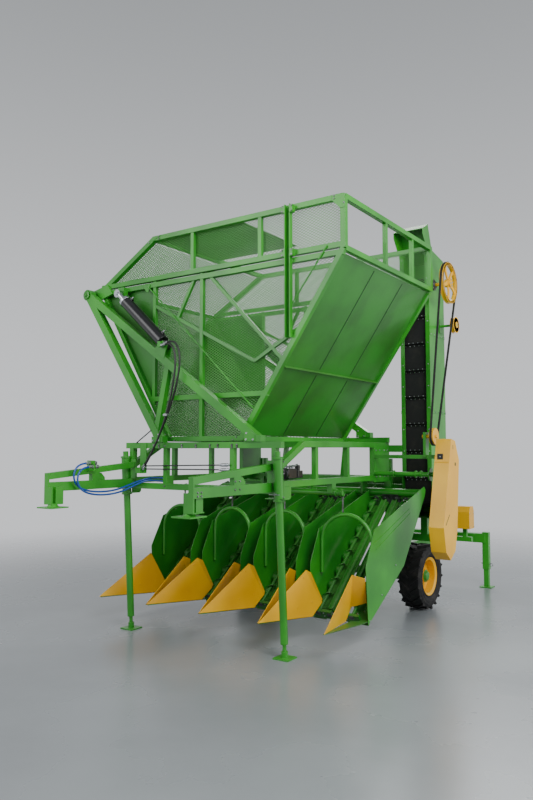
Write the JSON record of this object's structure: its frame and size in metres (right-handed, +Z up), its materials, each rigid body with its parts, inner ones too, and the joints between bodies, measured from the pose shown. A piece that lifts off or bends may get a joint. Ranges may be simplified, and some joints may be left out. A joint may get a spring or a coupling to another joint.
{
  "type": "cotton boll harvester",
  "caption": "Row harvester that strips cotton bolls with slanted rolls, lifts them by a slatted elevator into a mesh basket and tips it sideways.",
  "frame": {"origin": "on the floor, under the middle of the whole machine", "axes": "+Z up; the machine's front, with its points and hitch arms, faces -Y; +X is to the right seen from the front"},
  "size_m": [3.582, 5.697, 4.48],
  "materials": {
    "green_paint": "satin",
    "dark_green_paint": "satin",
    "yellow_paint": "satin",
    "grey_iron": "matte",
    "bare_steel": "satin",
    "dark_cylinder": "gloss",
    "black_rubber": "matte",
    "blue_rubber": "satin",
    "tyre": "matte"
  },
  "bodies": {
    "frame": {"auger_trough": "dark_green_paint", "basket_stands": "green_paint", "chassis": "green_paint", "drive_belt": "black_rubber", "drive_carriers": "green_paint", "drive_guard": "yellow_paint", "elevator_conveyor": "black_rubber", "elevator_hood": "green_paint", "elevator_housing": "green_paint", "front_frame": "green_paint", "hitch_arms": "green_paint", "hose_black_1": "black_rubber", "hose_black_2": "black_rubber", "hose_blue_1": "blue_rubber", "hose_blue_2": "blue_rubber", "leg_tubes": "green_paint", "lift_chains": "bare_steel", "rear_frame": "green_paint", "rear_guard": "yellow_paint", "upper_frame": "green_paint"},
    "basket": {"basket_frame": "green_paint", "basket_mesh": "green_paint", "basket_sheets": "green_paint"},
    "header": {"header_tube": "green_paint", "divider_sheets": "green_paint", "gearboxes": "grey_iron", "arches": "green_paint", "crop_points": "yellow_paint", "row_floors": "dark_green_paint"},
    "cross_auger": {"cross_auger": "green_paint"},
    "elevator_drive": {"elevator_drive": "yellow_paint"},
    "low_pulley": {"low_pulley": "yellow_paint"},
    "idler": {"idler": "yellow_paint"},
    "tipping_barrels": {"cylinder_barrels": "dark_cylinder"},
    "tipping_rods": {"cylinder_rods": "bare_steel"},
    "wheel_left": {"wheel_rim_left": "yellow_paint", "tyre_left": "tyre"},
    "front_foot_left": {"front_foot_left": "bare_steel"},
    "rear_foot_left": {"rear_foot_left": "green_paint"},
    "wheel_right": {"wheel_rim_right": "yellow_paint", "tyre_right": "tyre"},
    "front_foot_right": {"front_foot_right": "bare_steel"},
    "rear_foot_right": {"rear_foot_right": "green_paint"},
    "roll_1_left": {"roll_1_left": "dark_green_paint"},
    "roll_1_right": {"roll_1_right": "dark_green_paint"},
    "roll_2_left": {"roll_2_left": "dark_green_paint"},
    "roll_2_right": {"roll_2_right": "dark_green_paint"},
    "roll_3_left": {"roll_3_left": "dark_green_paint"},
    "roll_3_right": {"roll_3_right": "dark_green_paint"},
    "roll_4_left": {"roll_4_left": "dark_green_paint"},
    "roll_4_right": {"roll_4_right": "dark_green_paint"},
    "side_auger_1_left": {"side_auger_1_left": "dark_green_paint"},
    "side_auger_1_right": {"side_auger_1_right": "dark_green_paint"},
    "side_auger_2_left": {"side_auger_2_left": "dark_green_paint"},
    "side_auger_2_right": {"side_auger_2_right": "dark_green_paint"},
    "side_auger_3_left": {"side_auger_3_left": "dark_green_paint"},
    "side_auger_3_right": {"side_auger_3_right": "dark_green_paint"},
    "side_auger_4_left": {"side_auger_4_left": "dark_green_paint"},
    "side_auger_4_right": {"side_auger_4_right": "dark_green_paint"}
  },
  "joints": [
    {"name": "basket_tip", "type": "hinge", "parent": "frame", "child": "basket", "pos_m": [-1.729, -0.524, 3.6], "axis": [0, -1, 0], "range_deg": [0, 90]},
    {"name": "barrel_swing", "type": "hinge", "parent": "frame", "child": "tipping_barrels", "pos_m": [-0.561, -1.6515, 2.938], "axis": [0, -1, 0], "range_deg": [-3.4, 0]},
    {"name": "rod_extend", "type": "slide", "parent": "tipping_barrels", "child": "tipping_rods", "axis": [-0.7486, 0, 0.663], "range_m": [0, 0.652]},
    {"name": "header_lift", "type": "hinge", "parent": "frame", "child": "header", "pos_m": [-0.109, 0.51158, 1.38023], "axis": [-1, 0, 0], "range_deg": [0, 5], "deforming": ["lift_chains"]},
    {"name": "cross_auger_turn", "type": "hinge", "parent": "frame", "child": "cross_auger", "pos_m": [-0.109, 1.0685, 1.33], "axis": [1, 0, 0], "continuous": true},
    {"name": "elevator_drive_turn", "type": "hinge", "parent": "frame", "child": "elevator_drive", "pos_m": [1.541, 0.8285, 3.79], "axis": [1, 0, 0], "continuous": true},
    {"name": "low_pulley_turn", "type": "hinge", "parent": "frame", "child": "low_pulley", "pos_m": [1.541, 0.2985, 2.01], "axis": [1, 0, 0], "continuous": true},
    {"name": "idler_turn", "type": "hinge", "parent": "frame", "child": "idler", "pos_m": [1.541, 1.00582, 3.32491], "axis": [1, 0, 0], "continuous": true},
    {"name": "roll_1_left_turn", "type": "hinge", "parent": "header", "child": "roll_1_left", "pos_m": [-1.224, -0.7815, 0.275], "axis": [0, 0.7826, 0.6225], "continuous": true},
    {"name": "side_auger_1_left_turn", "type": "hinge", "parent": "header", "child": "side_auger_1_left", "pos_m": [-1.344, -0.78897, 0.28439], "axis": [0, 0.7826, 0.6225], "continuous": true},
    {"name": "roll_1_right_turn", "type": "hinge", "parent": "header", "child": "roll_1_right", "pos_m": [-1.094, -0.7815, 0.275], "axis": [0, 0.7826, 0.6225], "continuous": true},
    {"name": "side_auger_1_right_turn", "type": "hinge", "parent": "header", "child": "side_auger_1_right", "pos_m": [-0.974, -0.78897, 0.28439], "axis": [0, 0.7826, 0.6225], "continuous": true},
    {"name": "roll_2_left_turn", "type": "hinge", "parent": "header", "child": "roll_2_left", "pos_m": [-0.524, -0.7815, 0.275], "axis": [0, 0.7826, 0.6225], "continuous": true},
    {"name": "side_auger_2_left_turn", "type": "hinge", "parent": "header", "child": "side_auger_2_left", "pos_m": [-0.644, -0.78897, 0.28439], "axis": [0, 0.7826, 0.6225], "continuous": true},
    {"name": "roll_2_right_turn", "type": "hinge", "parent": "header", "child": "roll_2_right", "pos_m": [-0.394, -0.7815, 0.275], "axis": [0, 0.7826, 0.6225], "continuous": true},
    {"name": "side_auger_2_right_turn", "type": "hinge", "parent": "header", "child": "side_auger_2_right", "pos_m": [-0.274, -0.78897, 0.28439], "axis": [0, 0.7826, 0.6225], "continuous": true},
    {"name": "roll_3_left_turn", "type": "hinge", "parent": "header", "child": "roll_3_left", "pos_m": [0.176, -0.7815, 0.275], "axis": [0, 0.7826, 0.6225], "continuous": true},
    {"name": "side_auger_3_left_turn", "type": "hinge", "parent": "header", "child": "side_auger_3_left", "pos_m": [0.056, -0.78897, 0.28439], "axis": [0, 0.7826, 0.6225], "continuous": true},
    {"name": "roll_3_right_turn", "type": "hinge", "parent": "header", "child": "roll_3_right", "pos_m": [0.306, -0.7815, 0.275], "axis": [0, 0.7826, 0.6225], "continuous": true},
    {"name": "side_auger_3_right_turn", "type": "hinge", "parent": "header", "child": "side_auger_3_right", "pos_m": [0.426, -0.78897, 0.28439], "axis": [0, 0.7826, 0.6225], "continuous": true},
    {"name": "roll_4_left_turn", "type": "hinge", "parent": "header", "child": "roll_4_left", "pos_m": [0.876, -0.7815, 0.275], "axis": [0, 0.7826, 0.6225], "continuous": true},
    {"name": "side_auger_4_left_turn", "type": "hinge", "parent": "header", "child": "side_auger_4_left", "pos_m": [0.756, -0.78897, 0.28439], "axis": [0, 0.7826, 0.6225], "continuous": true},
    {"name": "roll_4_right_turn", "type": "hinge", "parent": "header", "child": "roll_4_right", "pos_m": [1.006, -0.7815, 0.275], "axis": [0, 0.7826, 0.6225], "continuous": true},
    {"name": "side_auger_4_right_turn", "type": "hinge", "parent": "header", "child": "side_auger_4_right", "pos_m": [1.126, -0.78897, 0.28439], "axis": [0, 0.7826, 0.6225], "continuous": true},
    {"name": "wheel_left_turn", "type": "hinge", "parent": "frame", "child": "wheel_left", "pos_m": [-1.279, 1.0385, 0.38], "axis": [1, 0, 0], "continuous": true},
    {"name": "front_foot_left_screw", "type": "slide", "parent": "frame", "child": "front_foot_left", "axis": [0, -0.0628, 0.998], "range_m": [0, 0.055]},
    {"name": "rear_foot_left_slide", "type": "slide", "parent": "frame", "child": "rear_foot_left", "axis": [0, 0, 1], "range_m": [0, 0.12]},
    {"name": "wheel_right_turn", "type": "hinge", "parent": "frame", "child": "wheel_right", "pos_m": [1.061, 1.0385, 0.38], "axis": [1, 0, 0], "continuous": true},
    {"name": "front_foot_right_screw", "type": "slide", "parent": "frame", "child": "front_foot_right", "axis": [0, -0.0628, 0.998], "range_m": [0, 0.055]},
    {"name": "rear_foot_right_slide", "type": "slide", "parent": "frame", "child": "rear_foot_right", "axis": [0, 0, 1], "range_m": [0, 0.12]}
  ],
  "couplings": [
    {"joint": "barrel_swing", "follows": "basket_tip", "ratio": -0.035474},
    {"joint": "rod_extend", "follows": "basket_tip", "m_per_rad": 0.41305},
    {"joint": "elevator_drive_turn", "follows": "cross_auger_turn", "ratio": 1},
    {"joint": "low_pulley_turn", "follows": "cross_auger_turn", "ratio": 2.6111},
    {"joint": "idler_turn", "follows": "cross_auger_turn", "ratio": -2.9059},
    {"joint": "roll_1_left_turn", "follows": "cross_auger_turn", "ratio": -2},
    {"joint": "side_auger_1_left_turn", "follows": "cross_auger_turn", "ratio": 1.5},
    {"joint": "roll_1_right_turn", "follows": "cross_auger_turn", "ratio": 2},
    {"joint": "side_auger_1_right_turn", "follows": "cross_auger_turn", "ratio": -1.5},
    {"joint": "roll_2_left_turn", "follows": "cross_auger_turn", "ratio": -2},
    {"joint": "side_auger_2_left_turn", "follows": "cross_auger_turn", "ratio": 1.5},
    {"joint": "roll_2_right_turn", "follows": "cross_auger_turn", "ratio": 2},
    {"joint": "side_auger_2_right_turn", "follows": "cross_auger_turn", "ratio": -1.5},
    {"joint": "roll_3_left_turn", "follows": "cross_auger_turn", "ratio": -2},
    {"joint": "side_auger_3_left_turn", "follows": "cross_auger_turn", "ratio": 1.5},
    {"joint": "roll_3_right_turn", "follows": "cross_auger_turn", "ratio": 2},
    {"joint": "side_auger_3_right_turn", "follows": "cross_auger_turn", "ratio": -1.5},
    {"joint": "roll_4_left_turn", "follows": "cross_auger_turn", "ratio": -2},
    {"joint": "side_auger_4_left_turn", "follows": "cross_auger_turn", "ratio": 1.5},
    {"joint": "roll_4_right_turn", "follows": "cross_auger_turn", "ratio": 2},
    {"joint": "side_auger_4_right_turn", "follows": "cross_auger_turn", "ratio": -1.5}
  ]
}
